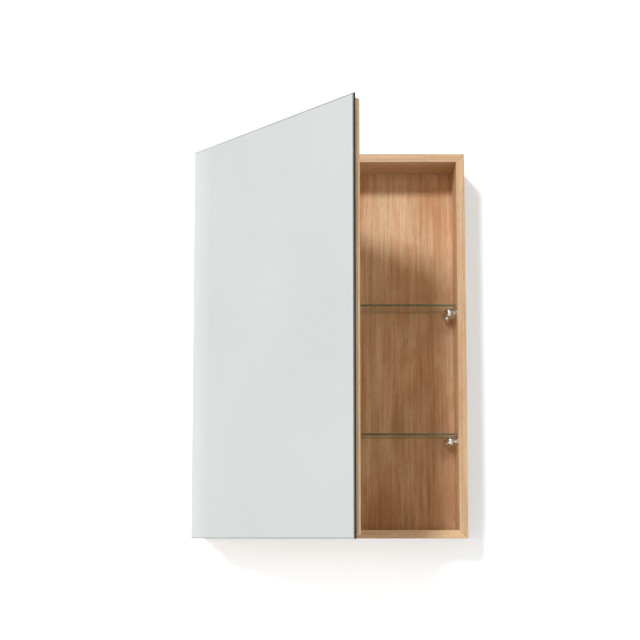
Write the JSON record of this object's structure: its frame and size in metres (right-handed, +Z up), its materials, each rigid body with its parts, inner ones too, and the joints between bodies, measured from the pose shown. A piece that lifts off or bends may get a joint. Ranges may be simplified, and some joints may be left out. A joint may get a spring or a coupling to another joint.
{
  "type": "medicine cabinet",
  "caption": "Wall-hung oak medicine cabinet with a full-overlay mirror door hinged on the left, glass shelves on chrome supports and a recessed back with a hanging rail.",
  "frame": {"origin": "centre of the hanging rail's back face, in the plane of the wall", "axes": "+X to the right seen from the front, +Y into the wall, +Z up"},
  "size_m": [0.4928, 0.5181, 0.7],
  "materials": {
    "oak": "oiled oak, satin",
    "oak_back": "oiled oak veneer, satin",
    "mirror": "silvered float glass with a polished edge",
    "clear_glass": "clear float glass with polished edges",
    "chrome": "bright chrome",
    "steel": "nickel-plated steel",
    "clear_rubber": "soft clear pad",
    "foam_tape": "double-sided foam tape",
    "white_plastic": "moulded, matte"
  },
  "bodies": {
    "cabinet": {"back_panel": "oak_back", "bottom_panel": "oak", "cabinet_leaf_screw_lower_bottom": "steel", "cabinet_leaf_screw_lower_top": "steel", "cabinet_leaf_screw_upper_bottom": "steel", "cabinet_leaf_screw_upper_top": "steel", "catch_body": "white_plastic", "catch_magnet": "steel", "catch_screw_left": "steel", "catch_screw_right": "steel", "corner_spline_bottom_left": "oak", "corner_spline_bottom_right": "oak", "corner_spline_top_left": "oak", "corner_spline_top_right": "oak", "glass_shelf_lower": "clear_glass", "glass_shelf_upper": "clear_glass", "hanger_plate_left": "steel", "hanger_plate_right": "steel", "hanger_screw_left_bottom": "steel", "hanger_screw_left_top": "steel", "hanger_screw_right_bottom": "steel", "hanger_screw_right_top": "steel", "hanging_rail": "oak", "hinge_leaf_cabinet_lower": "steel", "hinge_leaf_cabinet_upper": "steel", "hinge_pin_lower": "steel", "hinge_pin_upper": "steel", "shelf_support_lower_left_back": "chrome", "shelf_support_lower_left_front": "chrome", "shelf_support_lower_right_back": "chrome", "shelf_support_lower_right_front": "chrome", "shelf_support_upper_left_back": "chrome", "shelf_support_upper_left_front": "chrome", "shelf_support_upper_right_back": "chrome", "shelf_support_upper_right_front": "chrome", "side_panel_left": "oak", "side_panel_right": "oak", "support_pad_lower_left_back": "clear_rubber", "support_pad_lower_left_front": "clear_rubber", "support_pad_lower_right_back": "clear_rubber", "support_pad_lower_right_front": "clear_rubber", "support_pad_upper_left_back": "clear_rubber", "support_pad_upper_left_front": "clear_rubber", "support_pad_upper_right_back": "clear_rubber", "support_pad_upper_right_front": "clear_rubber", "top_panel": "oak"},
    "door": {"door_board": "oak", "door_bumper_bottom": "clear_rubber", "door_bumper_top": "clear_rubber", "door_leaf_screw_lower_bottom": "steel", "door_leaf_screw_lower_top": "steel", "door_leaf_screw_upper_bottom": "steel", "door_leaf_screw_upper_top": "steel", "hinge_leaf_door_lower": "steel", "hinge_leaf_door_upper": "steel", "mirror_glass": "mirror", "mirror_tape_left": "foam_tape", "mirror_tape_right": "foam_tape", "strike_plate": "steel"}
  },
  "joints": [
    {"name": "door_hinge", "type": "hinge", "parent": "cabinet", "child": "door", "pos_m": [-0.237, -0.1229, 0], "axis": [0, 0, -1], "range_deg": [-53.8, 56.2]}
  ]
}
